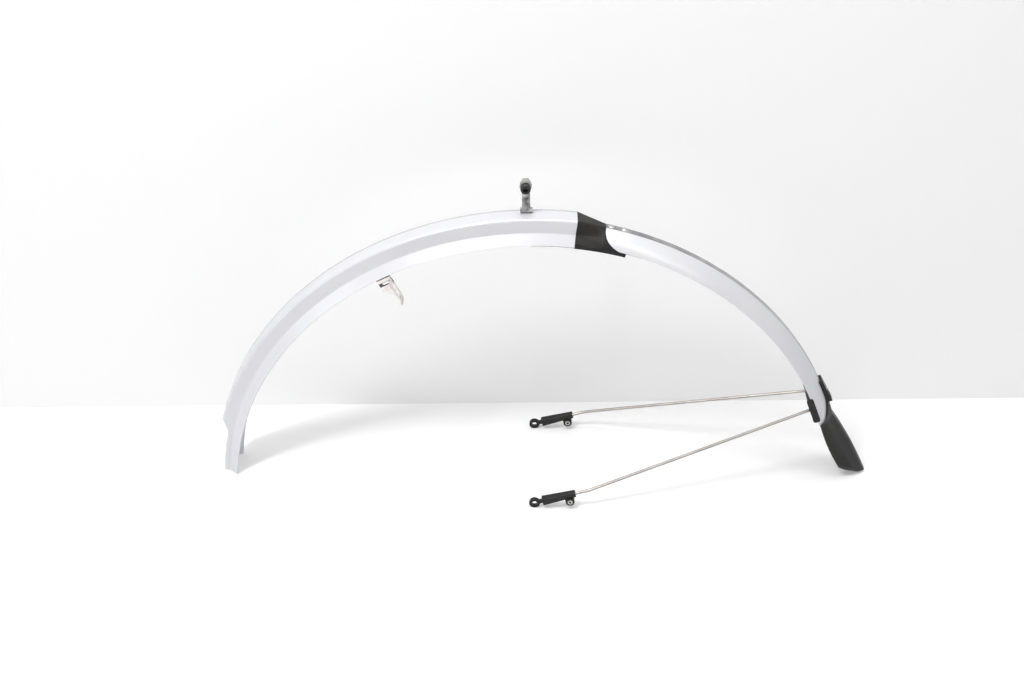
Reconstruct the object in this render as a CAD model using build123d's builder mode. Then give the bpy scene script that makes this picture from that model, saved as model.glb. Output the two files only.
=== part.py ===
from build123d import *
from math import asin, cos, degrees, radians, sin, tan
import os

# Rear mudguard of a city bicycle, standing on its front tip, its flap and its two stay ends.
# +X runs to the rear, +Y to the bicycle's right and +Z up from the floor; Y = 0 halves the blades.
# Angles are about the wheel's axle, from +X towards +Z. Sizes are millimetres and degrees.

# Fits
fit = 0.15  # gap between faces that nest
pin_fit = 0.05  # gap round a shank, a rivet or the wire

# Arch
axle_x = -11.15  # wheel axle from the middle of the part's length
axle_drop = 34.8  # wheel axle below the floor
sheet = 1.5  # wall of both blades

# Front blade: a raised channel with flared skirts, stepped down to a tongue at its tip
front_radius = 365.0
front_width = 41.0
channel_width = 24.0
channel_height = 15.5
skirt_drop = 10.0
channel_corner = 3.0
skirt_corner = 2.5
front_end = 83.6
tongue_top = 163.0
tongue_bottom = 165.6
tongue_step = 9.3
tip_overrun = 177.0  # the tip is made this far round and then cut flat on the floor
tip_hole = 5.5
tip_hole_height = 24.0

# Rear blade: a shallow rounded section on a slightly tighter arc
rear_radius = 352.3
rear_shift_x = -7.0
rear_shift_z = 8.2
rear_width = 44.0
rear_depth = 14.8
rear_crown_width = 8.4
rear_shoulder_width = 37.0
rear_shoulder_drop = 9.6
rear_crown_corner = 5.0
rear_shoulder_corner = 28.0
rear_start = 77.3
rear_corner_run = 40.0  # rounding of the two front corners, along the edge
rear_corner_rise = 16.6
rear_corner_dip = 3.6  # the rounding runs out this far below the edge

# Connector: a moulded adapter that plugs into both blades
connector_wall = 2.4
front_plug_turn = 7.5
rear_plug_turn = 7.0
foot_end = 74.6
foot_lip = 1.4  # below the front blade's edge
foot_height = 4.4
foot_wall = 2.4

# Rivets of the connector
rivet_shank = 4.0
rivet_head = 7.2
rivet_head_height = 1.6
rivet_tail = 5.6
rivet_tail_gap = 0.4  # closing head to the plug, which curves down beside it
rear_rivet_turns = (0.9, 3.2)

# Bridge tab on the crown, with its bolt
tab_angle = 91.8
tab_width = 12.5
tab_thickness = 2.5
tab_waist = 8.5
tab_foot = 10.0
tab_bolt_height = 31.5
tab_bend = 1.2
tab_rivet_shank = 3.0
tab_rivet_head = 5.0
tab_rivet_head_height = 1.3
bolt_shank = 6.0
bolt_head = 10.2
bolt_head_height = 6.0
bolt_socket = 5.0
bolt_socket_depth = 3.2
bolt_tail = 2.0
bolt_washer = 12.0
bolt_washer_thickness = 1.6
bolt_nut_across = 10.0
bolt_nut_thickness = 5.0

# Side bracket: a bent plate behind the left skirt, with a slotted ear folded outwards
bracket_angle = 118.2
bracket_sheet = 1.6
bracket_width = 16.0
bracket_root = 9.0  # length that lies on the skirt
bracket_bend = 1.0
bracket_drop = 48.0  # crown's outside to the bottom of the plate
bracket_slot_length = 9.0
bracket_slot_width = 3.2
bracket_slot_drop = 33.5
bracket_ear_width = 15.0
bracket_ear_top = 29.0
bracket_ear_bottom = 56.5
bracket_ear_round = 7.5
bracket_ear_slot_width = 6.0
bracket_ear_slot_length = 18.0
bracket_rivet_shank = 3.2
bracket_rivet_head = 5.2
bracket_rivet_tail_height = 1.2
countersink = 82.0

# Flap: a moulded skin over the outside of the rear blade's end, which kicks out to the floor
flap_wall = 1.9
flap_top = 25.6
flap_root = 17.8  # the rear blade ends here
flap_tongue_width = 13.0
flap_flare = 27.0
flap_toe_x = 376.3  # behind the axle, at the toe's outer face
flap_lean = 58.8  # of its straight lower part, above the floor
flap_kick = 36.0  # length of that part
flap_belly = 3.2  # its bulge at the top
flap_mid_crown = 9.0
flap_mid_shoulder_drop = 13.0
flap_mid_shoulder_width = 35.0
flap_mid_depth = 23.5
flap_mid_width = 43.0
flap_toe_crown = 9.0
flap_toe_shoulder_drop = 8.5
flap_toe_shoulder_width = 29.0
flap_toe_depth = 18.0
flap_toe_width = 39.0
flap_crown_corner = 8.0
flap_shoulder_corner = 14.0
flap_toe_half = 23.3  # half axes of the toe's rounding
flap_toe_rise = 68.0
flap_toe_land = 0.12  # the rounding dips past the toe by this, which leaves a short flat

# Saddle over the flap's tongue, and its screws
saddle_wall = 3.6
saddle_tip = 0.5  # its wall tapers to this at the top
saddle_width = 11.5
saddle_top = 25.6
saddle_bottom = 20.7
saddle_screw_turns = (2.6, 4.0)
saddle_screw = 4.0
saddle_screw_head = 7.0
saddle_screw_head_height = 1.2
saddle_screw_seat = 1.0  # floor of the counterbore above the flap's tongue
saddle_screw_grip = 8.0

# Stay bridge inside the rear blade, and the wire stay that it holds
bridge_top = 24.0
bridge_bottom = 19.4
bridge_width = 20.0
bridge_depth = 20.5
bridge_edge = 2.5
bridge_nose = 9.0  # chamfer of its upper inner edge
grip_turn = 21.9  # middle of the lips outside the blade's edges
grip_length = 32.0
grip_wall = 2.0
grip_rise = 7.6
beam_turn = 1.6  # length of the beam that carries the lips
beam_rise = 4.6
wire = 3.3
wire_turn = 21.6
wire_depth = 16.6  # crown's outside to the wire's middle
wire_cross_corner = 7.0
wire_splay_corner = 22.0
stay_slope = 16.6
stay_spread = 143.0
stay_straight = 62.0  # of the stay beside the wheel, from the eyelet's middle

# Stay ends
eyelet = 12.0
eyelet_hole = 5.8
eyelet_width = 3.6
eyelet_neck = 3.6
eyelet_neck_length = 3.2
eyelet_plug = 4.2
eyelet_plug_length = 8.0
holder_length = 37.5
holder_root_width = 8.6
holder_root_height = 8.4
holder_end_width = 6.6
holder_end_height = 6.2
holder_edge = 1.1
wire_grip = 26.0
clamp_from_end = 8.0
clamp_boss = 9.8
clamp_boss_width = 9.6
clamp_recess = 2.0  # the screw's head and the nut sit this deep in the boss
clamp_drop = 6.9
clamp_slit = 1.0
clamp_slit_length = 15.0
clamp_screw = 3.0
clamp_head = 5.5
clamp_head_height = 2.4
clamp_socket = 2.5
clamp_socket_depth = 1.6
clamp_nut_across = 5.5
clamp_nut_thickness = 2.4
clamp_tail = 0.4

os.makedirs("parts", exist_ok=True)

# Frames
axle = Vector(axle_x, 0, -axle_drop)
rear_axle = axle + Vector(rear_shift_x, 0, rear_shift_z)
front_axis = Axis(axle, (0, -1, 0))
rear_axis = Axis(rear_axle, (0, -1, 0))


def outward(angle):
    """Direction away from the axle at an angle."""
    return Vector(cos(radians(angle)), 0, sin(radians(angle)))


def section_plane(angle, centre):
    """Plane across the arch: its x is the radius, its y is +Y and its normal goes up the angle."""
    return Plane(centre, x_dir=outward(angle), z_dir=outward(angle + 90))


def skin_plane(angle, centre, radius):
    """Plane that touches the arch from outside: its x runs rearwards and its normal is the radius."""
    return Plane(centre + outward(angle) * radius, x_dir=outward(angle - 90), z_dir=outward(angle))


def side_plane(angle, centre, radius, y=0.0):
    """Upright plane facing -Y: its x runs rearwards along the arch and its y is the radius."""
    origin = centre + outward(angle) * radius + Vector(0, y, 0)
    return Plane(origin, x_dir=outward(angle - 90), z_dir=(0, -1, 0))


def outline(crown, crown_width, shoulder_drop, shoulder_width, edge_drop, width):
    """Corners of a blade's section from edge to edge over the crown, as (radius, y)."""
    half = [
        (crown - edge_drop, -width / 2),
        (crown - shoulder_drop, -shoulder_width / 2),
        (crown, -crown_width / 2),
    ]
    return half + [(r, -y) for r, y in reversed(half)]


def inset(corners, depth):
    """An outline moved into its channel by depth, with mitred corners and square ends."""
    points = [Vector(*corner) for corner in corners]
    normals = [(b - a).normalized().rotate(Axis.Z, 90) for a, b in zip(points, points[1:])]
    pairs = zip(normals[:1] + normals, normals + normals[-1:])
    return [p + (m + n) * (depth / (1 + m.dot(n))) for p, (m, n) in zip(points, pairs)]


def rounded(corners, radii, depth):
    """An outline inset by depth, as a wire whose rounded corners stay concentric."""
    sharpest = 0.4
    points = inset(corners, depth)
    turns = [(b - a).cross(c - b).Z for a, b, c in zip(points, points[1:], points[2:])]
    inner = [r - depth if turn > 0 else r + depth for r, turn in zip(radii, turns)]
    with BuildLine() as path:
        FilletPolyline(*points, radius=[max(r, sharpest) for r in inner])
    return path.wire()


def widest_round(corners, index):
    """Largest rounding that a corner's shorter side has room for."""
    room = 0.95
    a, b, c = [Vector(*corner) for corner in corners[index - 1:index + 2]]
    turn = radians((b - a).get_angle(c - b))
    return room * min((b - a).length, (c - b).length) / tan(turn / 2)


def wall(corners, radii, outer, inner):
    """Face between two insets of one outline: the section of a bent sheet."""
    top = rounded(corners, radii, outer)
    bottom = rounded(corners, radii, inner)
    with BuildSketch() as face:
        with BuildLine():
            add(top)
            add(bottom)
            Line(top @ 0, bottom @ 0)
            Line(top @ 1, bottom @ 1)
        make_face()
    return face.sketch


def strip(face, width):
    """The middle of a section, cut to a width."""
    with BuildSketch() as middle:
        add(face)
        Rectangle(4 * front_radius, width, mode=Mode.INTERSECT)
    return middle.sketch


# Sections
front_drop = channel_height + skirt_drop
front_corners = outline(front_radius, channel_width, channel_height, channel_width, front_drop, front_width)
front_radii = [skirt_corner, channel_corner, channel_corner, skirt_corner]
tongue_corners = outline(
    front_radius - tongue_step,
    channel_width,
    channel_height - tongue_step,
    channel_width,
    front_drop - tongue_step,
    front_width,
)
rear_corners = outline(
    rear_radius, rear_crown_width, rear_shoulder_drop, rear_shoulder_width, rear_depth, rear_width
)
rear_shoulder_round = min(rear_shoulder_corner, widest_round(rear_corners, 1))
rear_radii = [rear_shoulder_round, rear_crown_corner, rear_crown_corner, rear_shoulder_round]
front_section = wall(front_corners, front_radii, 0, sheet)
tongue_section = wall(tongue_corners, front_radii, 0, sheet)
rear_section = wall(rear_corners, rear_radii, 0, sheet)


# Places that several pieces share
tab_crown = skin_plane(tab_angle, axle, front_radius)
tab_rivet_y = tab_thickness + tab_bend + tab_rivet_head / 2 + fit
rear_rivets = [skin_plane(rear_start - turn, rear_axle, rear_radius) for turn in rear_rivet_turns]
saddle_screws_at = [skin_plane(saddle_top - turn, rear_axle, rear_radius) for turn in saddle_screw_turns]
tip_angle = 180 - degrees(asin((axle_drop + tip_hole_height) / (front_radius - tongue_step)))
skirt_edge, skirt_crease = [Vector(*corner) for corner in front_corners[:2]]
skirt_run = (skirt_crease - skirt_edge).normalized()
skirt_in = skirt_run.rotate(Axis.Z, 90)
bracket_section = section_plane(bracket_angle, axle)
bracket_rivet_spot = skirt_edge + skirt_run * (bracket_root / 2)
bracket_rivet_plane = Plane(
    bracket_section.from_local_coords(bracket_rivet_spot),
    x_dir=bracket_section.z_dir,
    z_dir=axle - bracket_section.from_local_coords(skirt_in),
)

# Front blade
with BuildPart() as front_blade:
    with BuildSketch(section_plane(front_end, axle)):
        add(front_section)
    revolve(axis=front_axis, revolution_arc=tongue_top - front_end)
    with BuildSketch(section_plane(tongue_top, axle)):
        add(front_section)
    with BuildSketch(section_plane(tongue_bottom, axle)):
        add(tongue_section)
    loft()
    with BuildSketch(section_plane(tongue_bottom, axle)):
        add(tongue_section)
    revolve(axis=front_axis, revolution_arc=tip_overrun - tongue_bottom)
    split(bisect_by=Plane.XY, keep=Keep.TOP)
    with BuildSketch(skin_plane(tip_angle, axle, front_radius - tongue_step)):
        Circle(tip_hole / 2)
    extrude(amount=2 * sheet, both=True, mode=Mode.SUBTRACT)
    with BuildSketch(tab_crown):
        with Locations((0, tab_rivet_y)):
            Circle(tab_rivet_shank / 2 + pin_fit)
    extrude(amount=2 * sheet, both=True, mode=Mode.SUBTRACT)
    with Locations(bracket_rivet_plane):
        CounterSinkHole(
            bracket_rivet_shank / 2 + pin_fit,
            bracket_rivet_head / 2 + pin_fit,
            depth=2 * sheet,
            counter_sink_angle=countersink,
        )
front_blade.part.label = "front_blade"
export_step(front_blade.part, "parts/front_blade.step")

# Rear blade, with its two front corners rounded off
with BuildPart() as rear_blade:
    with BuildSketch(section_plane(flap_root, rear_axle)):
        add(rear_section)
    revolve(axis=rear_axis, revolution_arc=rear_start - flap_root)
    rear_corner_foot = rear_radius - rear_depth - rear_corner_dip
    with BuildSketch(side_plane(rear_start, rear_axle, rear_corner_foot, -rear_width)):
        with BuildLine():
            below = -rear_depth
            top = Line((-rear_depth, below), (-rear_depth, rear_corner_rise))
            Line(top @ 1, (0, rear_corner_rise))
            turn = EllipticalCenterArc(
                (rear_corner_run, rear_corner_rise),
                rear_corner_run,
                rear_corner_rise,
                start_angle=180,
                arc_size=90,
            )
            drop = Line(turn @ 1, (rear_corner_run, below))
            Line(drop @ 1, top @ 0)
        make_face()
    extrude(amount=-2 * rear_width, mode=Mode.SUBTRACT)
    for place in rear_rivets:
        with BuildSketch(place):
            Circle(rivet_shank / 2 + pin_fit)
        extrude(amount=2 * sheet, both=True, mode=Mode.SUBTRACT)
    for place in saddle_screws_at:
        with BuildSketch(place):
            Circle(saddle_screw / 2 + pin_fit)
        extrude(amount=2 * sheet, both=True, mode=Mode.SUBTRACT)
rear_blade.part.label = "rear_blade"
export_step(rear_blade.part, "parts/rear_blade.step")

# Connector
plug_depth = sheet + fit
connector_depth = plug_depth + connector_wall
foot_edge = front_radius - front_drop - foot_lip
foot_y = front_width / 2 - foot_wall / 2
with BuildPart() as blade_connector:
    with BuildSketch(section_plane(front_end, axle)):
        add(wall(front_corners, front_radii, 0, connector_depth))
    with BuildSketch(section_plane(rear_start, rear_axle)):
        add(wall(rear_corners, rear_radii, 0, connector_depth))
    loft()
    with BuildSketch(section_plane(front_end, axle)):
        add(wall(front_corners, front_radii, plug_depth, connector_depth))
    revolve(axis=front_axis, revolution_arc=front_plug_turn)
    with BuildSketch(section_plane(rear_start - rear_plug_turn, rear_axle)):
        add(wall(rear_corners, rear_radii, plug_depth, connector_depth))
    revolve(axis=rear_axis, revolution_arc=rear_plug_turn)
    with BuildSketch(section_plane(foot_end, axle)):
        with Locations((foot_edge + foot_height / 2, foot_y), (foot_edge + foot_height / 2, -foot_y)):
            Rectangle(foot_height, foot_wall)
    revolve(axis=front_axis, revolution_arc=front_end - foot_end)
    for place in rear_rivets:
        with BuildSketch(place):
            Circle(rivet_shank / 2 + pin_fit)
        extrude(amount=-2 * connector_depth, mode=Mode.SUBTRACT)
blade_connector.part.label = "blade_connector"
export_step(blade_connector.part, "parts/blade_connector.step")


def fastener(shank, head, head_height, length, tail=0.0, tail_height=0.0):
    """Domed head on z = 0, a shank below it and, on a rivet, the closing head at its end."""
    ball = (head**2 / 4 + head_height**2) / (2 * head_height)
    steps = [(head / 2, 0), (shank / 2, 0), (shank / 2, -length)]
    if tail:
        steps += [(tail / 2, -length), (tail / 2, -length - tail_height)]
    steps += [(0, steps[-1][1]), (0, head_height)]
    with BuildPart() as turned:
        with BuildSketch(Plane.XZ):
            with BuildLine():
                CenterArc((0, head_height - ball), ball, 90, -degrees(asin(head / 2 / ball)))
                Polyline(*steps)
            make_face()
        revolve(axis=Axis.Z)
    return turned.part


# Rivets through the rear blade's crown into the connector
rivet_length = connector_depth + rivet_tail_gap
rivet = fastener(rivet_shank, rivet_head, rivet_head_height, rivet_length, rivet_tail, rivet_head_height)
with BuildPart() as connector_rivets:
    for place in rear_rivets:
        add(rivet.moved(place.location))
connector_rivets.part.label = "connector_rivets"
export_step(connector_rivets.part, "parts/connector_rivets.step")

# Bridge tab: a strip bent up from the crown
tab_side = side_plane(tab_angle, axle, front_radius)
tab_top = tab_bolt_height + tab_width / 2
tab_corners = [(front_radius + tab_top, 0), (front_radius, 0), (front_radius, tab_foot)]
with BuildPart() as bridge_tab:
    with BuildSketch(section_plane(tab_angle, axle)):
        add(wall(tab_corners, [tab_bend + tab_thickness], 0, -tab_thickness))
    extrude(amount=tab_width / 2, both=True)
    with BuildSketch(tab_side):
        with Locations((0, tab_thickness)):
            Rectangle(tab_width, 2 * tab_thickness)
        with Locations((0, tab_bolt_height / 2)):
            Rectangle(tab_waist, tab_bolt_height)
        with Locations((0, tab_bolt_height)):
            Circle(tab_width / 2)
    extrude(amount=2 * tab_foot, both=True, mode=Mode.INTERSECT)
    with BuildSketch(tab_side):
        with Locations((0, tab_bolt_height)):
            Circle(bolt_shank / 2 + pin_fit)
    extrude(amount=2 * tab_thickness, both=True, mode=Mode.SUBTRACT)
    with BuildSketch(tab_crown):
        with Locations((0, tab_rivet_y)):
            Circle(tab_rivet_shank / 2 + pin_fit)
    extrude(amount=2 * tab_thickness, mode=Mode.SUBTRACT)
bridge_tab.part.label = "bridge_tab"
export_step(bridge_tab.part, "parts/bridge_tab.step")

# Rivet of the tab
tab_rivet = fastener(
    tab_rivet_shank,
    tab_rivet_head,
    tab_rivet_head_height,
    tab_thickness + sheet + pin_fit,
    tab_rivet_head,
    tab_rivet_head_height,
)
with BuildPart() as bridge_tab_rivet:
    add(tab_rivet.moved(tab_crown.location * Location((0, tab_rivet_y, tab_thickness))))
bridge_tab_rivet.part.label = "bridge_tab_rivet"
export_step(bridge_tab_rivet.part, "parts/bridge_tab_rivet.step")

# Bolt across the tab, with a washer on each side and a nut
bolt_axis = side_plane(tab_angle, axle, front_radius + tab_bolt_height)
bolt_seat = bolt_axis.offset(bolt_washer_thickness)
nut_seat = bolt_axis.offset(-tab_thickness - bolt_washer_thickness)
bolt_grip = 2 * bolt_washer_thickness + tab_thickness + bolt_nut_thickness + bolt_tail
with BuildPart() as bridge_bolt:
    with BuildSketch(bolt_seat):
        Circle(bolt_head / 2)
    extrude(amount=bolt_head_height)
    fillet(bridge_bolt.faces().sort_by(Axis.Y)[0].edges(), bolt_head_height / 8)
    with BuildSketch(bolt_seat.offset(bolt_head_height)):
        RegularPolygon(bolt_socket / 2, 6, major_radius=False)
    extrude(amount=-bolt_socket_depth, mode=Mode.SUBTRACT)
    with BuildSketch(bolt_seat):
        Circle(bolt_shank / 2)
    extrude(amount=-bolt_grip)
bridge_bolt.part.label = "bridge_bolt"
export_step(bridge_bolt.part, "parts/bridge_bolt.step")

with BuildPart() as bridge_washers:
    for seat in (bolt_axis, nut_seat):
        with BuildSketch(seat):
            Circle(bolt_washer / 2)
            Circle(bolt_shank / 2 + pin_fit, mode=Mode.SUBTRACT)
        extrude(amount=bolt_washer_thickness)
bridge_washers.part.label = "bridge_washers"
export_step(bridge_washers.part, "parts/bridge_washers.step")

with BuildPart() as bridge_nut:
    with BuildSketch(nut_seat):
        RegularPolygon(bolt_nut_across / 2, 6, major_radius=False)
        Circle(bolt_shank / 2 + pin_fit, mode=Mode.SUBTRACT)
    extrude(amount=-bolt_nut_thickness)
bridge_nut.part.label = "bridge_nut"
export_step(bridge_nut.part, "parts/bridge_nut.step")

# Side bracket
bracket_face = skirt_edge + skirt_in * (sheet + fit)
bracket_corners = [
    tuple(bracket_face + skirt_run * bracket_root)[:2],
    tuple(bracket_face)[:2],
    (front_radius - bracket_drop, bracket_face.Y),
]
bracket_side = side_plane(bracket_angle, axle, front_radius, bracket_face.Y)
bracket_fold = Plane(
    bracket_side.from_local_coords((bracket_width / 2, 0, 0)),
    x_dir=bracket_side.y_dir,
    z_dir=bracket_section.z_dir,
)
bracket_ear_length = bracket_ear_bottom - bracket_ear_top
bracket_ear_middle = -(bracket_ear_top + bracket_ear_bottom) / 2
with BuildPart() as side_bracket:
    with BuildSketch(bracket_section):
        add(wall(bracket_corners, [bracket_bend + bracket_sheet], 0, -bracket_sheet))
    extrude(amount=bracket_width / 2, both=True)
    with BuildSketch(bracket_side):
        with Locations((0, bracket_width / 2 - bracket_drop)):
            Circle(bracket_width / 2)
        with Locations((0, (bracket_width / 2 - bracket_drop) / 2)):
            Rectangle(bracket_width, bracket_drop - bracket_width / 2)
    extrude(amount=front_width, both=True, mode=Mode.INTERSECT)
    with BuildSketch(bracket_side):
        with Locations((0, -bracket_slot_drop)):
            SlotOverall(bracket_slot_length, bracket_slot_width)
    extrude(amount=2 * bracket_sheet, both=True, mode=Mode.SUBTRACT)
    with BuildSketch(bracket_fold) as ear:
        with Locations((bracket_ear_middle, (bracket_sheet - bracket_ear_width) / 2)):
            Rectangle(bracket_ear_length, bracket_ear_width + bracket_sheet)
        fillet(ear.vertices().sort_by_distance(bracket_side.origin)[1:], bracket_ear_round)
        with Locations((bracket_ear_middle, -bracket_ear_width / 2)):
            SlotOverall(bracket_ear_slot_length, bracket_ear_slot_width, mode=Mode.SUBTRACT)
    extrude(amount=bracket_sheet)
    with BuildSketch(bracket_rivet_plane):
        Circle(bracket_rivet_shank / 2 + pin_fit)
    extrude(amount=-3 * (sheet + bracket_sheet), mode=Mode.SUBTRACT)
side_bracket.part.label = "side_bracket"
export_step(side_bracket.part, "parts/side_bracket.step")

# Rivet of the side bracket, countersunk flush with the skirt
bracket_grip = sheet + fit + bracket_sheet + pin_fit
bracket_sink = (bracket_rivet_head - bracket_rivet_shank) / 2 / tan(radians(countersink / 2))
bracket_rivet_turning = Plane(
    bracket_rivet_plane.origin, x_dir=bracket_rivet_plane.x_dir, z_dir=-bracket_rivet_plane.y_dir
)
with BuildPart() as side_bracket_rivet:
    with BuildSketch(bracket_rivet_turning):
        with BuildLine():
            Polyline(
                (0, 0),
                (bracket_rivet_head / 2, 0),
                (bracket_rivet_shank / 2, -bracket_sink),
                (bracket_rivet_shank / 2, -bracket_grip),
                (bracket_rivet_head / 2, -bracket_grip),
                (bracket_rivet_head / 2, -bracket_grip - bracket_rivet_tail_height),
                (0, -bracket_grip - bracket_rivet_tail_height),
                close=True,
            )
        make_face()
    revolve(axis=Axis(bracket_rivet_plane.origin, bracket_rivet_plane.z_dir))
side_bracket_rivet.part.label = "side_bracket_rivet"
export_step(side_bracket_rivet.part, "parts/side_bracket_rivet.step")

# Mudflap
flap_up = Vector(-cos(radians(flap_lean)), 0, sin(radians(flap_lean)))
flap_out = Vector(sin(radians(flap_lean)), 0, cos(radians(flap_lean)))
flap_toe = Vector(axle_x + flap_toe_x, 0, flap_wall * flap_out.Z)
flap_toe_plane = Plane(flap_toe, x_dir=flap_out, z_dir=flap_up)
flap_mid = flap_toe + flap_up * flap_kick + flap_out * flap_belly
flap_mid_plane = Plane(flap_mid, x_dir=flap_out, z_dir=flap_up)
flap_face = Plane(flap_toe, x_dir=(0, 1, 0), z_dir=flap_out)
flap_radii = [flap_shoulder_corner, flap_crown_corner, flap_crown_corner, flap_shoulder_corner]
flap_skin = -fit - flap_wall
flap_root_section = wall(rear_corners, rear_radii, flap_skin, -fit)
flap_mid_corners = outline(
    0, flap_mid_crown, flap_mid_shoulder_drop, flap_mid_shoulder_width, flap_mid_depth, flap_mid_width
)
flap_toe_corners = outline(
    0, flap_toe_crown, flap_toe_shoulder_drop, flap_toe_shoulder_width, flap_toe_depth, flap_toe_width
)
tongue_half = flap_tongue_width / 2
flare_half = rear_width / 2 + 2 * flap_wall
with BuildPart() as mudflap:
    with BuildSketch(section_plane(flap_root, rear_axle)):
        add(flap_root_section)
    revolve(axis=rear_axis, revolution_arc=flap_top - flap_root)
    with BuildSketch(skin_plane(flap_root, rear_axle, rear_radius)):
        with BuildLine():
            flare_rise = flare_half - tongue_half
            right = EllipticalCenterArc((-flap_flare, flare_half), flap_flare, flare_rise, 0, arc_size=-90)
            left = EllipticalCenterArc((-flap_flare, -flare_half), flap_flare, flare_rise, 0, arc_size=90)
            Line(right @ 0, left @ 0)
            Polyline(right @ 1, (-rear_radius, tongue_half), (-rear_radius, -tongue_half), left @ 1)
        make_face()
    extrude(amount=2 * rear_depth, both=True, mode=Mode.INTERSECT)
    with BuildSketch(section_plane(flap_root, rear_axle)):
        add(flap_root_section)
    with BuildSketch(flap_mid_plane):
        add(wall(flap_mid_corners, flap_radii, 0, flap_wall))
    with BuildSketch(flap_toe_plane):
        add(wall(flap_toe_corners, flap_radii, 0, flap_wall))
    loft()
    with BuildSketch(flap_face):
        with Locations((0, flap_toe_rise / 2)):
            Rectangle(2 * flap_mid_width, flap_toe_rise)
        with Locations((0, flap_toe_rise)):
            Ellipse(flap_toe_half, flap_toe_rise + flap_toe_land, mode=Mode.SUBTRACT)
    extrude(amount=2 * flap_mid_depth, both=True, mode=Mode.SUBTRACT)
    for place in saddle_screws_at:
        with BuildSketch(place):
            Circle(saddle_screw / 2 + pin_fit)
        extrude(amount=2 * flap_wall, mode=Mode.SUBTRACT)
mudflap.part.label = "mudflap"
export_step(mudflap.part, "parts/mudflap.step")

# Saddle
saddle_seat = flap_skin - fit
saddle_section = strip(wall(rear_corners, rear_radii, saddle_seat - saddle_wall, saddle_seat), saddle_width)
saddle_foot = rear_axle + outward(saddle_bottom) * (rear_radius - saddle_seat + saddle_wall)
saddle_peak = rear_axle + outward(saddle_top) * (rear_radius - saddle_seat + saddle_tip)
saddle_slope = saddle_peak - saddle_foot
saddle_taper = Plane(saddle_foot, x_dir=saddle_slope, z_dir=saddle_slope.cross(Vector(0, 1, 0)))
with BuildPart() as flap_saddle:
    with BuildSketch(section_plane(saddle_bottom, rear_axle)):
        add(saddle_section)
    revolve(axis=rear_axis, revolution_arc=saddle_top - saddle_bottom)
    split(bisect_by=saddle_taper, keep=Keep.TOP)
    for place in saddle_screws_at:
        with BuildSketch(place):
            Circle(saddle_screw / 2 + pin_fit)
        extrude(amount=saddle_wall - saddle_seat, mode=Mode.SUBTRACT)
        with BuildSketch(place.offset(saddle_screw_seat - saddle_seat)):
            Circle(saddle_screw_head / 2 + fit)
        extrude(amount=saddle_wall, mode=Mode.SUBTRACT)
flap_saddle.part.label = "flap_saddle"
export_step(flap_saddle.part, "parts/flap_saddle.step")

# Screws of the saddle, into the stay bridge
saddle_screw_head_at = saddle_screw_seat - saddle_seat
saddle_screw_length = saddle_screw_head_at + plug_depth + saddle_screw_grip
screw = fastener(saddle_screw, saddle_screw_head, saddle_screw_head_height, saddle_screw_length)
with BuildPart() as saddle_screws:
    for place in saddle_screws_at:
        add(screw.moved(place.offset(saddle_screw_head_at).location))
saddle_screws.part.label = "saddle_screws"
export_step(saddle_screws.part, "parts/saddle_screws.step")

# Frame of the stay: its plane rises from the eyelets on the floor to the wire's crossbar
stay_run = outward(stay_slope)
stay_up = outward(stay_slope + 90)
stay_half = stay_spread / 2
crossbar = rear_axle + outward(wire_turn) * (rear_radius - wire_depth)
stay_length = (crossbar.Z - eyelet / 2) / stay_run.Z
stay_start = crossbar - stay_run * stay_length
crossbar_axis = Plane(crossbar, x_dir=(1, 0, 0), z_dir=(0, -1, 0))


def stay_plane(y):
    """Plane of the stay with its origin at an eyelet: its x runs up the stay and its y is +Y."""
    return Plane(stay_start + Vector(0, y, 0), x_dir=stay_run, z_dir=stay_up)


def across(plane, x):
    """Plane across the stay at a distance from the eyelet: its x is +Y and its y is the stay's up."""
    return Plane(plane.from_local_coords((x, 0, 0)), x_dir=plane.y_dir, z_dir=plane.x_dir)


def beside(plane, x, z, facing):
    """Upright plane along the stay that faces -Y or +Y."""
    return Plane(plane.from_local_coords((x, 0, z)), x_dir=plane.x_dir, z_dir=(0, facing, 0))


# Stay bridge: fills the middle of the rear blade's section, with a beam to a lip on each edge
bridge_bottom_radius = rear_radius - bridge_depth
grip_y = rear_width / 2 + fit
bridge_arch = rounded(rear_corners, rear_radii, plug_depth)
with BuildSketch() as bridge_section:
    with BuildLine():
        add(bridge_arch)
        Polyline(
            bridge_arch @ 0,
            (bridge_bottom_radius, (bridge_arch @ 0).Y),
            (bridge_bottom_radius, (bridge_arch @ 1).Y),
            bridge_arch @ 1,
        )
    make_face()
with BuildPart() as stay_bridge:
    with BuildSketch(section_plane(bridge_bottom, rear_axle)):
        add(strip(bridge_section.sketch, bridge_width))
    revolve(axis=rear_axis, revolution_arc=bridge_top - bridge_bottom)
    bridge_edges = stay_bridge.edges().filter_by(Axis.Y).sort_by(Axis.Z)
    fillet(bridge_edges[:2] + bridge_edges[3:], bridge_edge)
    chamfer(stay_bridge.edges().filter_by(Axis.Y).sort_by_distance(bridge_edges[2].center())[0], bridge_nose)
    with BuildSketch(section_plane(bridge_bottom, rear_axle)):
        with Locations((bridge_bottom_radius + beam_rise / 2, 0)):
            Rectangle(beam_rise, 2 * (grip_y + grip_wall))
    revolve(axis=rear_axis, revolution_arc=beam_turn)
    for lip_y in (grip_y + grip_wall, -grip_y):
        with BuildSketch(side_plane(grip_turn, rear_axle, bridge_bottom_radius + grip_rise / 2, lip_y)):
            RectangleRounded(grip_length, grip_rise, bridge_edge)
        extrude(amount=grip_wall)
    with BuildSketch(crossbar_axis):
        Circle(wire / 2 + pin_fit)
    extrude(amount=bridge_width, both=True, mode=Mode.SUBTRACT)
    for place in saddle_screws_at:
        with BuildSketch(place.offset(-plug_depth - saddle_screw_grip - fit)):
            Circle(saddle_screw / 2 + pin_fit)
        extrude(amount=bridge_depth, mode=Mode.SUBTRACT)
stay_bridge.part.label = "stay_bridge"
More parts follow.
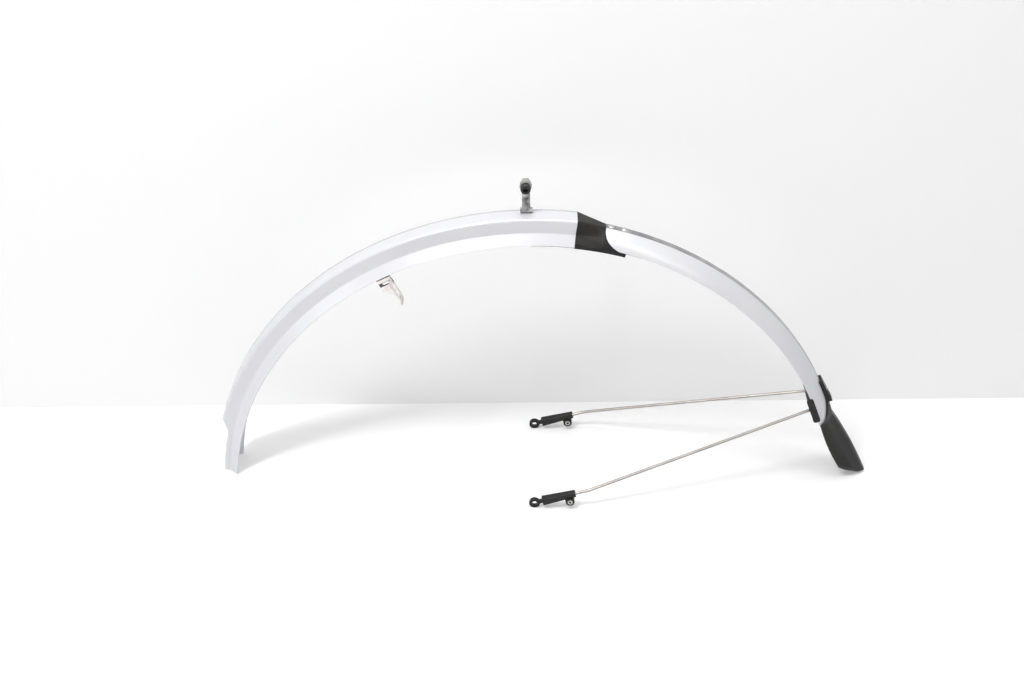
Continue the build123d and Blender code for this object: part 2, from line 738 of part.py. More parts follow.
export_step(stay_bridge.part, "parts/stay_bridge.step")

# Stay wire
holder_start = eyelet / 2 + eyelet_neck_length
holder_end = holder_start + holder_length
wire_start = holder_end - wire_grip + fit
crossbar_half = bridge_width / 2 + wire_cross_corner
with BuildPart() as stay_wire:
    with BuildLine(stay_plane(0)):
        FilletPolyline(
            (wire_start, -stay_half),
            (stay_straight, -stay_half),
            (stay_length, -crossbar_half),
            (stay_length, crossbar_half),
            (stay_straight, stay_half),
            (wire_start, stay_half),
            radius=[wire_splay_corner, wire_cross_corner, wire_cross_corner, wire_splay_corner],
        )
    with BuildSketch(across(stay_plane(-stay_half), wire_start)):
        Circle(wire / 2)
    sweep()
stay_wire.part.label = "stay_wire"
export_step(stay_wire.part, "parts/stay_wire.step")

# Stay ends: on each side an eyelet, the holder that grips the wire, and its clamp screw and nut
clamp_at = holder_end - clamp_from_end
for side, facing in (("left", -1), ("right", 1)):
    frame = stay_plane(facing * stay_half)
    eyelet_face = beside(frame, 0, 0, facing)
    clamp_middle = beside(frame, clamp_at, -clamp_drop, facing)
    clamp_grip = clamp_boss_width - 2 * clamp_recess
    clamp_face = clamp_middle.offset(clamp_grip / 2)
    clamp_back = clamp_middle.offset(-clamp_grip / 2)

    with BuildPart() as stay_eyelet:
        with BuildSketch(eyelet_face):
            Circle(eyelet / 2)
        extrude(amount=eyelet_width / 2, both=True)
        with BuildSketch(across(frame, 0)):
            Rectangle(eyelet_neck, eyelet_neck)
        extrude(amount=holder_start)
        with BuildSketch(across(frame, holder_start)):
            Circle(eyelet_plug / 2)
        extrude(amount=eyelet_plug_length)
        with BuildSketch(eyelet_face):
            Circle(eyelet_hole / 2)
        extrude(amount=eyelet_neck, both=True, mode=Mode.SUBTRACT)
    stay_eyelet.part.label = side + "_stay_eyelet"
    export_step(stay_eyelet.part, "parts/" + side + "_stay_eyelet.step")

    with BuildPart() as stay_holder:
        with BuildSketch(across(frame, holder_start)):
            RectangleRounded(holder_root_width, holder_root_height, holder_edge)
        with BuildSketch(across(frame, holder_end)):
            RectangleRounded(holder_end_width, holder_end_height, holder_edge)
        loft()
        with BuildSketch(clamp_middle):
            Circle(clamp_boss / 2)
        extrude(amount=clamp_boss_width / 2, both=True)
        with BuildSketch(beside(frame, clamp_at, -clamp_drop / 2, facing)):
            Rectangle(clamp_boss, clamp_drop)
        extrude(amount=holder_end_width / 2, both=True)
        with BuildSketch(across(frame, holder_start)):
            Circle(eyelet_plug / 2 + pin_fit)
        extrude(amount=eyelet_plug_length + fit, mode=Mode.SUBTRACT)
        with BuildSketch(across(frame, holder_end)):
            Circle(wire / 2 + pin_fit)
        extrude(amount=-wire_grip, mode=Mode.SUBTRACT)
        with BuildSketch(clamp_face):
            Circle(clamp_screw / 2 + pin_fit)
        extrude(amount=-clamp_grip, mode=Mode.SUBTRACT)
        with BuildSketch(clamp_face):
            Circle(clamp_head / 2 + fit)
        extrude(amount=clamp_recess, mode=Mode.SUBTRACT)
        with BuildSketch(clamp_back):
            RegularPolygon(clamp_nut_across / 2 + fit, 6, major_radius=False)
        extrude(amount=-clamp_recess, mode=Mode.SUBTRACT)
        with BuildSketch(across(frame, holder_end)):
            with Locations((0, -clamp_drop)):
                Rectangle(clamp_slit, 2 * clamp_drop)
        extrude(amount=-clamp_slit_length, mode=Mode.SUBTRACT)
    stay_holder.part.label = side + "_stay_holder"
    export_step(stay_holder.part, "parts/" + side + "_stay_holder.step")

    with BuildPart() as clamp_screw_piece:
        with BuildSketch(clamp_face):
            Circle(clamp_head / 2)
        extrude(amount=clamp_head_height)
        with BuildSketch(clamp_face.offset(clamp_head_height)):
            RegularPolygon(clamp_socket / 2, 6, major_radius=False)
        extrude(amount=-clamp_socket_depth, mode=Mode.SUBTRACT)
        with BuildSketch(clamp_face):
            Circle(clamp_screw / 2)
        extrude(amount=-clamp_grip - clamp_nut_thickness - clamp_tail)
    clamp_screw_piece.part.label = side + "_clamp_screw"
    export_step(clamp_screw_piece.part, "parts/" + side + "_clamp_screw.step")

    with BuildPart() as clamp_nut:
        with BuildSketch(clamp_back):
            RegularPolygon(clamp_nut_across / 2, 6, major_radius=False)
            Circle(clamp_screw / 2 + pin_fit, mode=Mode.SUBTRACT)
        extrude(amount=-clamp_nut_thickness)
    clamp_nut.part.label = side + "_clamp_nut"
    export_step(clamp_nut.part, "parts/" + side + "_clamp_nut.step")
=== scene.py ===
import math

import bmesh
import bpy
from mathutils import Matrix, Vector


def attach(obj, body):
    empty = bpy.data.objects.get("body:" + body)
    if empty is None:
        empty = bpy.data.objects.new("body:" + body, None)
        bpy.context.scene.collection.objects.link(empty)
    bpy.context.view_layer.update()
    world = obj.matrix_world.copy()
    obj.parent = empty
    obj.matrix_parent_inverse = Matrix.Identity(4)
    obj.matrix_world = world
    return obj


# Looks of the mudguard: finishes for its sheet, plastics and hardware, the small turned and moulded
# details, and a plain white corner to stand it in. Metres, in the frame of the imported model.
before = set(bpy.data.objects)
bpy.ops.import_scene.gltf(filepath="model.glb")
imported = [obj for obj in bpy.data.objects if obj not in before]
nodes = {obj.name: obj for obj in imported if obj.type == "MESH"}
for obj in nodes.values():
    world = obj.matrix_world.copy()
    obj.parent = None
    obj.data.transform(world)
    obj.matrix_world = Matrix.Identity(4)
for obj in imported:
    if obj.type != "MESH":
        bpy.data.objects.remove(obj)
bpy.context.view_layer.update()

# Centres that the finishes and the details are laid round, as (x, z)
wheel_axle = (-0.01115, -0.0348)
rear_axle = (-0.01815, -0.0266)
stay_eye = (-0.011208, 0.006)
stay_slope = math.radians(16.6)
clamp_along, clamp_below = 0.0387, 0.0069
clamp_axis = (
    stay_eye[0] + clamp_along * math.cos(stay_slope) + clamp_below * math.sin(stay_slope),
    stay_eye[1] + clamp_along * math.sin(stay_slope) - clamp_below * math.cos(stay_slope),
)
far_off = 1.0  # a limit beyond every face of the guard


# Single nodes, for the groups, the finishes and the stage

def feed(tree, value, socket):
    """Links a socket to an input, or sets a plain value on it."""
    if isinstance(value, bpy.types.NodeSocket):
        tree.links.new(value, socket)
    else:
        socket.default_value = value


def noise(tree, vector, scale, detail):
    """A noise texture."""
    texture = tree.nodes.new("ShaderNodeTexNoise")
    texture.inputs["Detail"].default_value = detail
    feed(tree, vector, texture.inputs["Vector"])
    feed(tree, scale, texture.inputs["Scale"])
    return texture


def ramp(tree, value, low, high, to_low=0.0, to_high=1.0):
    """A value brought from low and high to two other limits, and held there beyond them."""
    node = tree.nodes.new("ShaderNodeMapRange")
    limits = {"Value": value, "From Min": low, "From Max": high, "To Min": to_low, "To Max": to_high}
    for label, limit in limits.items():
        feed(tree, limit, node.inputs[label])
    return node.outputs["Result"]


def join(tree, operation, first, second):
    """Two values joined by a sum, a product or the like."""
    node = tree.nodes.new("ShaderNodeMath")
    node.operation = operation
    feed(tree, first, node.inputs[0])
    feed(tree, second, node.inputs[1])
    return node.outputs["Value"]


def shift(tree, operation, vector, other):
    """A vector moved or stretched by another."""
    node = tree.nodes.new("ShaderNodeVectorMath")
    node.operation = operation
    feed(tree, vector, node.inputs[0])
    feed(tree, other, node.inputs[1])
    return node.outputs["Vector"]


def length(tree, vector):
    """The length of a vector."""
    node = tree.nodes.new("ShaderNodeVectorMath")
    node.operation = "LENGTH"
    feed(tree, vector, node.inputs[0])
    return node.outputs["Value"]


# Node groups that several finishes share

def start_group(name, inputs, result):
    """A shader group with one result, with the sockets of its two end nodes; an input is a vector if its
    default is one."""
    group = bpy.data.node_groups.new(name, "ShaderNodeTree")
    for label, value in inputs.items():
        kind = "NodeSocketVector" if isinstance(value, tuple) else "NodeSocketFloat"
        group.interface.new_socket(label, in_out="INPUT", socket_type=kind).default_value = value
    group.interface.new_socket(result, in_out="OUTPUT", socket_type="NodeSocketFloat")
    return group, group.nodes.new("NodeGroupInput").outputs, group.nodes.new("NodeGroupOutput").inputs


def make_tone_drift():
    """Slow drift of tone over a surface, between Low and High."""
    group, given, result = start_group(
        "tone drift", {"Vector": (0.0, 0.0, 0.0), "Scale": 20.0, "Low": 0.0, "High": 1.0}, "Value",
    )
    cloud = noise(group, given["Vector"], given["Scale"], detail=4.0)
    spread = ramp(group, cloud.outputs["Fac"], 0.32, 0.68, given["Low"], given["High"])
    group.links.new(spread, result["Value"])
    return group


def make_rubbed_lines():
    """Fine rubbed lines: noise drawn out along Stretch, with only its crests kept, and those in patches."""
    group, given, result = start_group(
        "rubbed lines",
        {"Vector": (0.0, 0.0, 0.0), "Stretch": (1.0, 1.0, 1.0), "Scale": 300.0, "Amount": 0.5}, "Mask",
    )
    drawn = shift(group, "MULTIPLY", given["Vector"], given["Stretch"])
    lines = noise(group, drawn, given["Scale"], detail=2.0)
    crests = ramp(group, lines.outputs["Fac"], 0.56, 0.74)
    patches = noise(group, given["Vector"], scale=26.0, detail=2.0)
    kept = join(group, "MULTIPLY", crests, patches.outputs["Fac"])
    group.links.new(join(group, "MULTIPLY", kept, given["Amount"]), result["Mask"])
    return group


def make_fine_grain():
    """Height of a fine all-over grain."""
    group, given, result = start_group(
        "fine grain", {"Vector": (0.0, 0.0, 0.0), "Scale": 800.0, "Roughness": 0.5}, "Height",
    )
    pores = noise(group, given["Vector"], given["Scale"], detail=3.0)
    group.links.new(given["Roughness"], pores.inputs["Roughness"])
    group.links.new(pores.outputs["Fac"], result["Height"])
    return group


tone_drift = make_tone_drift()
rubbed_lines = make_rubbed_lines()
fine_grain = make_fine_grain()


# Finishes. Each keeps its roughness wholly above or wholly below about 0.27, because reflections above
# it are traced as diffuse light, which sees the white corner darker, and a finish across it looks blotchy.

class Finish:
    """A material under construction: its tree, its shader and its object coordinates."""

    def __init__(self, name):
        self.material = bpy.data.materials.new(name)
        self.material.use_nodes = True
        self.tree = self.material.node_tree
        self.shader = self.tree.nodes["Principled BSDF"]
        self.place = self.tree.nodes.new("ShaderNodeTexCoord").outputs["Object"]

    def set(self, **values):
        """Sets plain values on the shader."""
        for label, value in values.items():
            self.shader.inputs[label.replace("_", " ")].default_value = value

    def link(self, value, label):
        """Links a value that changes over the surface to the shader."""
        self.tree.links.new(value, self.shader.inputs[label])

    def group(self, group, **values):
        """The result of a shared group, with its own values."""
        node = self.tree.nodes.new("ShaderNodeGroup")
        node.node_tree = group
        self.tree.links.new(self.place, node.inputs["Vector"])
        for label, value in values.items():
            node.inputs[label].default_value = value
        return node.outputs[0]

    def mix(self, factor, low, high):
        """A colour between two colours; each may be a colour or a socket."""
        blend = self.tree.nodes.new("ShaderNodeMix")
        blend.data_type = "RGBA"
        self.tree.links.new(factor, blend.inputs["Factor"])
        for socket, colour in ((blend.inputs[6], low), (blend.inputs[7], high)):
            feed(self.tree, (*colour, 1.0) if isinstance(colour, tuple) else colour, socket)
        return blend.outputs[2]

    def axis(self, letter):
        """One of the object coordinates."""
        parts = self.tree.nodes.new("ShaderNodeSeparateXYZ")
        self.tree.links.new(self.place, parts.inputs["Vector"])
        return parts.outputs[letter]

    def radius(self, centre):
        """Distance from an axis along Y through centre, given as (x, z)."""
        from_axis = shift(self.tree, "SUBTRACT", self.place, (centre[0], 0.0, centre[1]))
        return length(self.tree, shift(self.tree, "MULTIPLY", from_axis, (1.0, 0.0, 1.0)))

    def band(self, value, low, high, soft):
        """A mask that is 1 where a value lies between low and high, with soft ends."""
        rise = ramp(self.tree, value, low - soft, low)
        fall = ramp(self.tree, value, high + soft, high)
        return join(self.tree, "MULTIPLY", rise, fall)

    def bump(self, height, strength, distance):
        """Relief from a height."""
        node = self.tree.nodes.new("ShaderNodeBump")
        node.inputs["Strength"].default_value = strength
        node.inputs["Distance"].default_value = distance
        self.tree.links.new(height, node.inputs["Height"])
        self.link(node.outputs["Normal"], "Normal")


def silver_paint(name, centre, least_radius, low, high, soft, top_tone, leg_tone):
    """Silver lacquer: metal flake, faint orange peel and a few rubbed lines, with a darker line along the
    crown that is painted shade and dark reflection.
    The line lies between low and high across the guard, and its painted shade has its own tone at the top and
    down a leg."""
    leg_height = 0.18
    paint = Finish(name)
    paint.set(Metallic=0.22, Coat_Weight=0.15, Coat_Roughness=0.3)
    base = paint.mix(paint.group(tone_drift, Scale=9.0), (0.70, 0.70, 0.73), (0.75, 0.75, 0.772))
    flake = paint.tree.nodes.new("ShaderNodeTexVoronoi")
    flake.inputs["Scale"].default_value = 1600.0
    paint.tree.links.new(paint.place, flake.inputs["Vector"])
    spark = ramp(paint.tree, flake.outputs["Color"], 0.0, 1.0, to_high=0.12)
    base = paint.mix(spark, base, (0.95, 0.95, 0.97))
    rubs = paint.group(rubbed_lines, Stretch=(0.06, 1.0, 1.0), Scale=900.0, Amount=0.12)
    base = paint.mix(rubs, base, (0.55, 0.55, 0.57))
    # painted shade and dark reflection: a darker line along the crown, between low and high across it, toned
    # differently at the top and down a leg
    across = paint.band(paint.axis("Y"), low, high, soft)
    on_crown = paint.band(paint.radius(centre), least_radius, far_off, soft=0.0004)
    line = join(paint.tree, "MULTIPLY", across, on_crown)
    on_leg = paint.band(paint.axis("Z"), -far_off, leg_height, soft=0.14)
    shade_drift = paint.group(tone_drift, Scale=70.0, High=0.5)
    shade_tone = paint.mix(shade_drift, paint.mix(on_leg, top_tone, leg_tone), (0.52, 0.52, 0.53))
    paint.link(paint.mix(line, base, shade_tone), "Base Color")
    dull = paint.group(tone_drift, Scale=24.0, Low=0.29, High=0.37)
    paint.link(join(paint.tree, "ADD", dull, rubs), "Roughness")
    paint.bump(paint.group(fine_grain, Scale=420.0, Roughness=0.45), strength=0.08, distance=0.0002)
    return paint.material


def black_plastic():
    """Moulded black plastic: a fine leather grain, greyed a little by rubbing, with pale specks."""
    plastic = Finish("black plastic")
    plastic.set(Specular_IOR_Level=0.28)
    drift = plastic.group(tone_drift, Scale=30.0)
    base = plastic.mix(drift, (0.0105, 0.0092, 0.0088), (0.0165, 0.015, 0.0145))
    rubs = plastic.group(rubbed_lines, Stretch=(1.0, 0.25, 1.0), Scale=260.0, Amount=0.22)
    base = plastic.mix(rubs, base, (0.075, 0.072, 0.068))
    specks = plastic.group(rubbed_lines, Scale=620.0, Amount=0.5)
    plastic.link(plastic.mix(specks, base, (0.05, 0.047, 0.044)), "Base Color")
    plastic.link(plastic.group(tone_drift, Scale=60.0, Low=0.30, High=0.42), "Roughness")
    plastic.bump(plastic.group(fine_grain, Scale=1500.0, Roughness=0.6), strength=0.12, distance=0.0002)
    return plastic.material


def stainless_wire():
    """Drawn stainless wire: warm grey, with faint die lines along its length."""
    wire = Finish("stainless wire")
    wire.set(Metallic=1.0)
    base = wire.mix(wire.group(tone_drift, Scale=40.0), (0.35, 0.325, 0.305), (0.44, 0.415, 0.395))
    lines = wire.group(rubbed_lines, Stretch=(0.02, 1.0, 1.0), Scale=2600.0, Amount=0.35)
    wire.link(wire.mix(lines, base, (0.34, 0.32, 0.30)), "Base Color")
    wire.link(wire.group(tone_drift, Scale=120.0, Low=0.29, High=0.38), "Roughness")
    wire.bump(lines, strength=0.03, distance=0.00005)
    return wire.material


def bright_plate():
    """Bright plated bracket: a polished skin with handling haze, with painted shadow under the skirt and
    painted shade round its slot, and darker along its lower edge. The places are distances from the wheel's
    axle."""
    under_skirt = (0.3376, 0.3398)
    round_slot = (0.3296, 0.3334)
    ear_side = -0.0215
    lower_edge = 0.3105
    plate = Finish("bright plate")
    plate.set(Metallic=1.0)
    base = plate.mix(plate.group(tone_drift, Scale=90.0), (0.63, 0.585, 0.57), (0.80, 0.765, 0.755))
    reach = plate.radius(wheel_axle)
    # painted shadow of the skirt's edge on the plate, and painted shade round the slot, both near black
    skirt_shadow = plate.band(reach, *under_skirt, soft=0.0005)
    off_ear = plate.band(plate.axis("Y"), ear_side, far_off, soft=0.0003)
    slot = join(plate.tree, "MULTIPLY", off_ear, plate.band(reach, *round_slot, soft=0.0005))
    base = plate.mix(join(plate.tree, "MAXIMUM", skirt_shadow, slot), base, (0.10, 0.09, 0.095))
    edge = plate.band(reach, 0.0, lower_edge, soft=0.002)
    plate.link(plate.mix(edge, base, (0.50, 0.46, 0.44)), "Base Color")
    haze = plate.group(tone_drift, Scale=160.0, Low=0.12, High=0.2)
    wipes = plate.group(rubbed_lines, Stretch=(1.0, 1.0, 0.1), Scale=900.0, Amount=0.06)
    plate.link(join(plate.tree, "ADD", haze, wipes), "Roughness")
    plate.bump(plate.group(fine_grain, Scale=500.0, Roughness=0.4), strength=0.05, distance=0.0001)
    return plate.material


def zinc(name, dark=(0.42, 0.42, 0.415), cloud=260.0, socket=None):
    """Zinc plated rivets, nuts and screws: cloudy grey, with painted shade inside a screw's socket if it has
    one.
    """
    socket_radius = 0.00125
    metal = Finish(name)
    metal.set(Metallic=1.0)
    base = metal.mix(metal.group(tone_drift, Scale=cloud), dark, (0.62, 0.62, 0.61))
    if socket:
        # painted shade inside the screw's socket
        socket_shade = metal.band(metal.radius(socket), -far_off, socket_radius, soft=0.0002)
        base = metal.mix(socket_shade, base, (0.02, 0.02, 0.02))
    metal.link(base, "Base Color")
    metal.link(metal.group(tone_drift, Scale=500.0, Low=0.3, High=0.45), "Roughness")
    metal.bump(metal.group(fine_grain, Scale=2600.0, Roughness=0.5), strength=0.1, distance=0.0001)
    return metal.material


def black_steel():
    """Blackened steel of the bridge bolt: oiled, with small bare flecks."""
    steel = Finish("black steel")
    steel.set(Metallic=0.1, Specular_IOR_Level=0.35, Coat_Weight=0.05, Coat_Roughness=0.12)
    drift = steel.group(tone_drift, Scale=180.0)
    base = steel.mix(drift, (0.012, 0.012, 0.013), (0.024, 0.023, 0.022))
    flecks = steel.group(rubbed_lines, Scale=1200.0, Amount=0.4)
    steel.link(steel.mix(flecks, base, (0.15, 0.145, 0.14)), "Base Color")
    steel.link(steel.group(tone_drift, Scale=300.0, Low=0.16, High=0.26), "Roughness")
    steel.bump(steel.group(fine_grain, Scale=2200.0, Roughness=0.5), strength=0.1, distance=0.0001)
    return steel.material


# Where each blade's line of painted shade lies, the far corner of the front crown and the rear crown facet,
# with its tones
front_crown_shade = {
    "centre": wheel_axle, "least_radius": 0.3643, "low": 0.0090, "high": 0.0140, "soft": 0.0030,
    "top_tone": (0.47, 0.47, 0.495), "leg_tone": (0.22, 0.22, 0.23),
}
rear_crown_shade = {
    "centre": rear_axle, "least_radius": 0.3514, "low": -0.0041, "high": 0.0041, "soft": 0.0004,
    "top_tone": (0.165, 0.165, 0.17), "leg_tone": (0.42, 0.42, 0.43),
}
finishes = {
    "silver_paint": silver_paint("silver paint", **front_crown_shade),
    "black_plastic": black_plastic(),
    "stainless_wire": stainless_wire(),
    "bright_plate": bright_plate(),
    "zinc": zinc("zinc"),
    "black_steel": black_steel(),
}
screw_finish = zinc("zinc of the clamp screws", socket=clamp_axis)
node_finishes = {
    "front_blade": finishes["silver_paint"],
    "rear_blade": silver_paint("silver paint of the rear blade", **rear_crown_shade),
    "blade_connector": finishes["black_plastic"],
    "connector_rivets": finishes["zinc"],
    # the tab's zinc runs nearly black in patches: painted dark reflections on bright metal
    "bridge_tab": zinc("zinc of the tab with painted dark reflections", dark=(0.075, 0.072, 0.075), cloud=110.0),
    "bridge_tab_rivet": finishes["zinc"],
    "bridge_bolt": finishes["black_steel"],
    "bridge_washers": finishes["zinc"],
    "bridge_nut": finishes["zinc"],
    "side_bracket": finishes["bright_plate"],
    "side_bracket_rivet": silver_paint("silver paint over the rivet", **front_crown_shade),
    "mudflap": finishes["black_plastic"],
    "flap_saddle": finishes["black_plastic"],
    "saddle_screws": finishes["zinc"],
    "stay_bridge": finishes["black_plastic"],
    "stay_wire": finishes["stainless_wire"],
}
for side in ("left", "right"):
    node_finishes[side + "_stay_eyelet"] = finishes["black_plastic"]
    node_finishes[side + "_stay_holder"] = finishes["black_plastic"]
    node_finishes[side + "_clamp_screw"] = screw_finish
    node_finishes[side + "_clamp_nut"] = finishes["zinc"]
for name, finish in node_finishes.items():
    nodes[name].data.materials.clear()
    nodes[name].data.materials.append(finish)


# Small turned and moulded details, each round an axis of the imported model

merge_distance = 1e-7


def add_piece(name, shape, slot, place):
    """Makes a finished bmesh a piece that rides on the guard."""
    bmesh.ops.remove_doubles(shape, verts=shape.verts, dist=merge_distance)
    bmesh.ops.transform(shape, matrix=place, verts=shape.verts)
    bmesh.ops.recalc_face_normals(shape, faces=shape.faces)
    mesh = bpy.data.meshes.new(name)
    shape.to_mesh(mesh)
    shape.free()
    mesh.materials.append(finishes[slot])
    piece = bpy.data.objects.new(name, mesh)
    bpy.context.scene.collection.objects.link(piece)
    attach(piece, "root")


def chain(shape, points, closed):
    """A few vertices joined by edges: the outline that a spin turns; points are (radius, height)."""
    verts = [shape.verts.new((radius, 0.0, height)) for radius, height in points]
    edges = [shape.edges.new(pair) for pair in zip(verts, verts[1:])]
    if closed:
        edges.append(shape.edges.new((verts[-1], verts[0])))
    return verts + edges


def turned(points, closed):
    """A shape turned about Z from its outline."""
    shape = bmesh.new()
    bmesh.ops.spin(
        shape, geom=chain(shape, points, closed), cent=(0, 0, 0), axis=(0, 0, 1),
        angle=math.tau, steps=40, use_merge=True,
    )
    return shape


def along(direction, point):
    """Places a shape made about Z on a point, with its Z along a direction."""
    turn = Vector(direction).to_track_quat("Z", "X").to_matrix().to_4x4()
    return Matrix.Translation(point) @ turn


def screw_ridge(core, crest, pitch, turns):
    """The ridge of a thread about Z: a small tooth spun up a helix, closed at both ends."""
    steps_in_turn = 28
    tooth_width = 0.8 * pitch
    shape = bmesh.new()
    tooth = chain(shape, [(core, 0.0), (crest, tooth_width / 2), (core, tooth_width)], True)
    bmesh.ops.spin(
        shape, geom=tooth, cent=(0, 0, 0), axis=(0, 0, 1), dvec=(0, 0, pitch / steps_in_turn),
        angle=math.tau * turns, steps=int(steps_in_turn * turns),
    )
    bmesh.ops.holes_fill(shape, edges=[e for e in shape.edges if e.is_boundary], sides=4)
    return shape


def head_ribs(radius, low, high, count):
    """Fine gripping ribs round a bolt's head, each rounded on its outer side."""
    rib_depth, rib_width, rib_round = 0.0003, 0.00032, 0.0001
    shape = bmesh.new()
    bmesh.ops.create_cube(shape, size=1.0)
    bmesh.ops.scale(shape, vec=(rib_depth, rib_width, high - low), verts=shape.verts)
    outer_edges = [
        e for e in shape.edges
        if abs(e.verts[0].co.z - e.verts[1].co.z) > merge_distance and e.verts[0].co.x > 0
    ]
    bmesh.ops.bevel(
        shape, geom=outer_edges, offset=rib_round, affect="EDGES", segments=2, profile=0.5, material=-1,
    )
    bmesh.ops.translate(shape, vec=(radius, 0, (low + high) / 2), verts=shape.verts)
    bmesh.ops.spin(
        shape, geom=shape.verts[:] + shape.edges[:] + shape.faces[:], cent=(0, 0, 0), axis=(0, 0, 1),
        angle=math.tau * (count - 1) / count, steps=count - 1, use_duplicate=True,
    )
    return shape


bolt_axis = Vector((-0.0236, 0.0, 0.3615))
thread_start = Vector((0, 0.00915, 0))
add_piece(
    "bolt_head_ribs", head_ribs(radius=0.0051, low=0.0022, high=0.0066, count=44), "black_steel",
    along((0, -1, 0), bolt_axis),
)
add_piece(
    "bolt_thread", screw_ridge(core=0.00296, crest=0.00318, pitch=0.0008, turns=2.0), "black_steel",
    along((0, 1, 0), bolt_axis + thread_start),
)

rear_crown_radius = 0.3523
rivet_head_height = 0.0016
pin_sink = 0.00012
pin_outline = [
    (0.0, 0.00034), (0.00072, 0.00034), (0.00085, 0.00022), (0.00085, 0.00004), (0.00122, 0.00004),
    (0.00136, 0.0003), (0.00168, 0.0003), (0.0019, 0.00012), (0.0019, -0.0004), (0.0, -0.0004),
]
for label, turn in (("front", 76.4), ("rear", 74.1)):
    out = Vector((math.cos(math.radians(turn)), 0.0, math.sin(math.radians(turn))))
    seat_radius = rear_crown_radius + rivet_head_height - pin_sink
    seat = Vector((rear_axle[0], 0.0, rear_axle[1])) + out * seat_radius
    add_piece("rivet_pin_" + label, turned(pin_outline, False), "zinc", along(out, seat))

eye_across = 0.0715
half_eyelet = 0.0018
rim_outline = [
    (0.0031, -0.0003), (0.0031, 0.00018), (0.00325, 0.00032),
    (0.0041, 0.00032), (0.00428, 0.00018), (0.00428, -0.0003),
]
for side, sign in (("left", -1.0), ("right", 1.0)):
    eye = Vector((stay_eye[0], sign * eye_across, stay_eye[1]))
    for face, way in (("outer", sign), ("inner", -sign)):
        seat = eye + Vector((0.0, way * half_eyelet, 0.0))
        add_piece(
            side + "_eyelet_" + face + "_rim", turned(rim_outline, True), "black_plastic",
            along((0, way, 0), seat),
        )


# White corner: a floor and a wall just behind the arch, seen only from their front faces

def looked_at(tree):
    """1 on rays that come from the camera, directly or by way of gloss or glass."""
    path = tree.nodes.new("ShaderNodeLightPath").outputs
    camera_or_gloss = join(tree, "MAXIMUM", path["Is Camera Ray"], path["Is Glossy Ray"])
    return join(tree, "MAXIMUM", camera_or_gloss, path["Is Transmission Ray"])


def stage_paper(name, tone, lift):
    """Matt white paper whose back can't be seen; lift is what the camera sees besides the lamps' light, and it
    grows with the distance, where the lamps fade."""
    fade_start, fade_end, far_lift = 0.9, 2.8, 0.8
    material = bpy.data.materials.new(name)
    material.use_nodes = True
    tree = material.node_tree
    tree.nodes.clear()
    matt = tree.nodes.new("ShaderNodeBsdfDiffuse")
    matt.inputs["Color"].default_value = (tone, tone, tone, 1.0)
    place = tree.nodes.new("ShaderNodeTexCoord").outputs["Object"]
    fade = ramp(tree, length(tree, place), fade_start, fade_end, lift, far_lift)
    glow = tree.nodes.new("ShaderNodeEmission")
    tree.links.new(join(tree, "MULTIPLY", looked_at(tree), fade), glow.inputs["Strength"])
    front = tree.nodes.new("ShaderNodeAddShader")
    tree.links.new(matt.outputs["BSDF"], front.inputs[0])
    tree.links.new(glow.outputs["Emission"], front.inputs[1])
    clear = tree.nodes.new("ShaderNodeBsdfTransparent")
    facing = tree.nodes.new("ShaderNodeNewGeometry")
    paper = tree.nodes.new("ShaderNodeMixShader")
    tree.links.new(facing.outputs["Backfacing"], paper.inputs["Fac"])
    tree.links.new(front.outputs["Shader"], paper.inputs[1])
    tree.links.new(clear.outputs["BSDF"], paper.inputs[2])
    out = tree.nodes.new("ShaderNodeOutputMaterial")
    tree.links.new(paper.outputs["Shader"], out.inputs["Surface"])
    return material


def stage_sheet(name, width, height, place, paper):
    """One flat sheet of the white corner."""
    mesh = bpy.data.meshes.new(name)
    shape = bmesh.new()
    bmesh.ops.create_grid(shape, x_segments=1, y_segments=1, size=0.5)
    bmesh.ops.scale(shape, vec=(width, height, 1.0), verts=shape.verts)
    bmesh.ops.transform(shape, matrix=place, verts=shape.verts)
    shape.to_mesh(mesh)
    shape.free()
    mesh.materials.append(paper)
    sheet = bpy.data.objects.new(name, mesh)
    bpy.context.scene.collection.objects.link(sheet)


stage_width = 6.0
wall_height = 1.1
wall_distance = 0.121
wall_turn = math.radians(1.67)
wall_place = (
    Matrix.Translation((0.0, wall_distance, wall_height / 2))
    @ Matrix.Rotation(wall_turn, 4, "Z")
    @ Matrix.Rotation(math.radians(90), 4, "X")
)
floor_paper = stage_paper("floor paper", tone=0.82, lift=0.22)
wall_paper = stage_paper("wall paper", tone=0.82, lift=0.25)
stage_sheet("floor", stage_width, stage_width, Matrix.Identity(4), floor_paper)
stage_sheet("wall", stage_width, wall_height, wall_place, wall_paper)


# Light: a tall soft lamp at the upper left, a broad one overhead, a low one at the left, a strip at the
# right and a fading sky

def lamp(name, place, aim, width, height, power):
    """A rectangular lamp aimed at a point."""
    data = bpy.data.lights.new(name, "AREA")
    data.shape = "RECTANGLE"
    data.size = width
    data.size_y = height
    data.energy = power
    light = bpy.data.objects.new(name, data)
    light.location = place
    light.rotation_euler = (Vector(aim) - Vector(place)).to_track_quat("-Z", "Y").to_euler()
    bpy.context.scene.collection.objects.link(light)


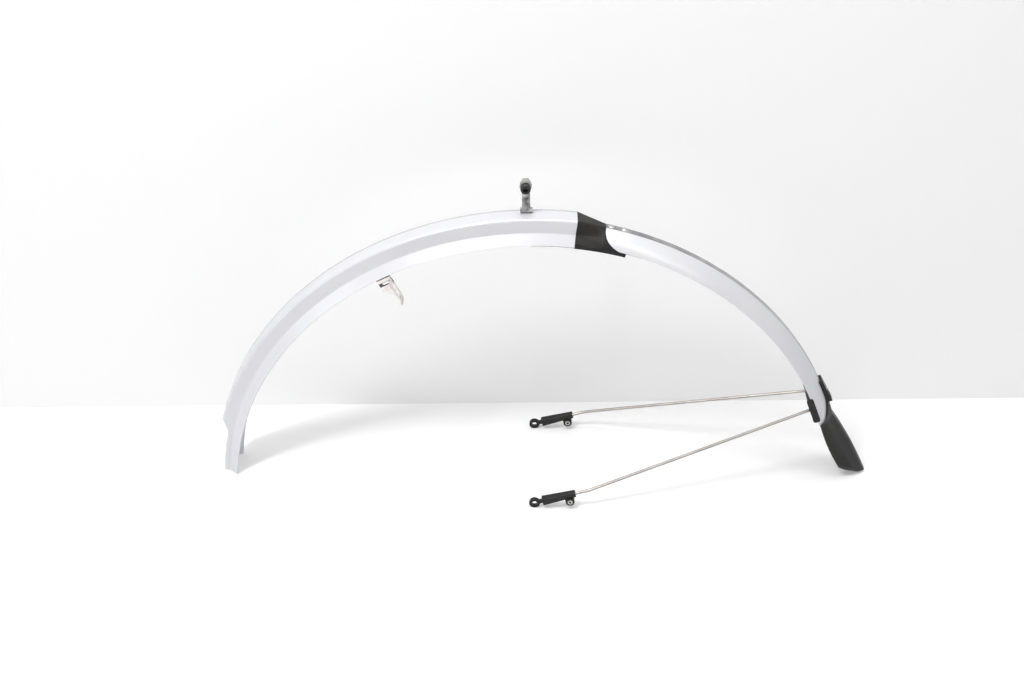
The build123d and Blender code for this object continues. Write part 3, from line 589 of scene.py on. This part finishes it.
lamp("key lamp", (-0.69, -0.74, 1.93), aim=(0.0, 0.0, 0.2), width=0.14, height=0.6, power=19.5)
lamp("top lamp", (0.1, -0.25, 2.0), aim=(0.0, 0.0, 0.2), width=1.2, height=1.0, power=8.0)
lamp("left lamp", (-1.6, -0.9, 0.6), aim=(-0.3, 0.0, 0.15), width=0.5, height=0.8, power=1.5)
lamp("side strip", (0.95, -0.55, 1.5), aim=(0.2, 0.0, 0.2), width=0.1, height=1.0, power=2.0)

sky_low, sky_high = 0.05, 0.85
backdrop_white = 0.97
world = bpy.data.worlds.new("studio")
bpy.context.scene.world = world
world.use_nodes = True
sky_tree = world.node_tree
sky_tree.nodes.clear()
toward = sky_tree.nodes.new("ShaderNodeTexCoord")
split = sky_tree.nodes.new("ShaderNodeSeparateXYZ")
sky_tree.links.new(toward.outputs["Generated"], split.inputs["Vector"])
sky = sky_tree.nodes.new("ShaderNodeBackground")
sky_level = ramp(sky_tree, split.outputs["Z"], 0.0, 1.0, sky_low, sky_high)
sky_tree.links.new(sky_level, sky.inputs["Strength"])
backdrop = sky_tree.nodes.new("ShaderNodeBackground")
backdrop.inputs["Color"].default_value = (backdrop_white, backdrop_white, backdrop_white, 1.0)
choice = sky_tree.nodes.new("ShaderNodeMixShader")
sky_tree.links.new(looked_at(sky_tree), choice.inputs["Fac"])
sky_tree.links.new(sky.outputs["Background"], choice.inputs[1])
sky_tree.links.new(backdrop.outputs["Background"], choice.inputs[2])
sky_out = sky_tree.nodes.new("ShaderNodeOutputWorld")
sky_tree.links.new(choice.outputs["Shader"], sky_out.inputs["Surface"])


# Camera at the photograph's angle

camera_place = (-0.02315, -1.338, 1.0882)
camera_turn, camera_tilt, camera_roll = math.radians(0.6), math.radians(55.6), math.radians(0.08)
camera_data = bpy.data.cameras.new("camera")
camera_data.lens = 52.73
camera = bpy.data.objects.new("camera", camera_data)
camera.matrix_world = (
    Matrix.Translation(camera_place)
    @ Matrix.Rotation(camera_turn, 4, "Z")
    @ Matrix.Rotation(camera_tilt, 4, "X")
    @ Matrix.Rotation(camera_roll, 4, "Z")
)
bpy.context.scene.collection.objects.link(camera)
bpy.context.scene.camera = camera
bpy.context.scene.view_settings.view_transform = "Standard"
